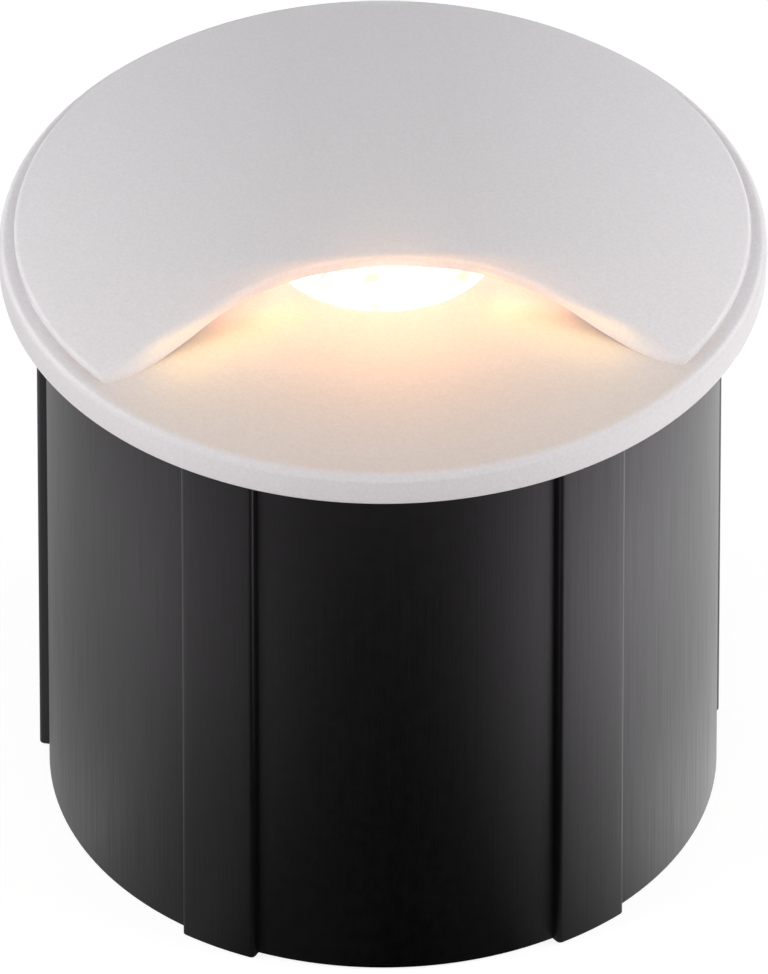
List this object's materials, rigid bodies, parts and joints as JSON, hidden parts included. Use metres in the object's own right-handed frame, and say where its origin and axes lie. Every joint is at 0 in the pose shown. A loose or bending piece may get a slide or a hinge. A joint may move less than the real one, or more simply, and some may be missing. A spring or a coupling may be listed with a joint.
{
  "type": "recessed path light",
  "caption": "Round recessed path light: white disc face with a low domed eyelid over a warm lamp, held by leaf springs in a black ribbed mounting sleeve.",
  "frame": {"origin": "on the sleeve's axis, at the sleeve's back end, which is the lowest point of the part", "axes": "+Z along the sleeve's axis, out of the wall, through the face; light leaves the eyelid towards -Y, which is down when the light is fitted in a wall; +X to the right of the mouth"},
  "size_m": [0.08, 0.08, 0.0748],
  "materials": {
    "black_sleeve": "satin black anodised extrusion",
    "white_powder_coat": "fine textured white powder coat on die-cast aluminium",
    "grey_foam": "closed-cell foam",
    "clear_lens": "clear glass, polished",
    "clear_silicone": "translucent silicone",
    "black_plastic": "moulded, matt",
    "steel_screw": "stainless steel",
    "bright_reflector": "bright anodised spun cup",
    "led_phosphor": "yellow phosphor in silicone",
    "ceramic_white": "white ceramic",
    "thermal_pad": "grey-blue thermal pad",
    "white_plastic": "moulded, matt",
    "cast_aluminium": "die-cast, tumbled",
    "black_rubber": "moulded rubber",
    "spring_steel": "rolled spring strip",
    "circuit_board": "solder resist",
    "transformer_tape": "yellow tape over a ferrite core",
    "capacitor_sleeve": "shrink sleeve",
    "ferrite": "ferrite and moulding compound",
    "terminal_green": "moulded terminal block",
    "lead_insulation": "silicone lead",
    "gland_brass": "nickel-plated brass"
  },
  "bodies": {
    "sleeve": {"mounting_sleeve": "black_sleeve"},
    "lamp": {"hooded_bezel": "white_powder_coat", "wall_gasket": "grey_foam", "front_lens": "clear_lens", "lens_gasket": "clear_silicone", "lens_retainer": "black_plastic", "retainer_screws": "steel_screw", "reflector": "bright_reflector", "led_phosphor": "led_phosphor", "led_substrate": "ceramic_white", "thermal_pad": "thermal_pad", "led_holder": "white_plastic", "led_holder_screws": "steel_screw", "lamp_housing": "cast_aluminium", "housing_seal": "black_rubber", "bezel_screws": "steel_screw", "spring_clip_1": "spring_steel", "spring_clip_2": "spring_steel", "spring_clip_3": "spring_steel", "spring_screws": "steel_screw", "driver_board": "circuit_board", "board_screws": "steel_screw", "driver_transformer": "transformer_tape", "driver_capacitor": "capacitor_sleeve", "driver_choke": "ferrite", "driver_chip": "ferrite", "terminal_block": "terminal_green", "lead_grommet": "black_rubber", "led_leads": "lead_insulation", "rear_cover": "cast_aluminium", "rear_gasket": "black_rubber", "rear_cover_screws": "steel_screw", "gland_body": "gland_brass", "gland_seal": "black_rubber", "gland_nut": "gland_brass", "gland_washer": "black_rubber", "gland_locknut": "gland_brass"}
  },
  "joints": [
    {"name": "lamp_pull_out", "type": "slide", "parent": "sleeve", "child": "lamp", "axis": [0, 0, 1], "range_m": [0, 0.064]}
  ]
}
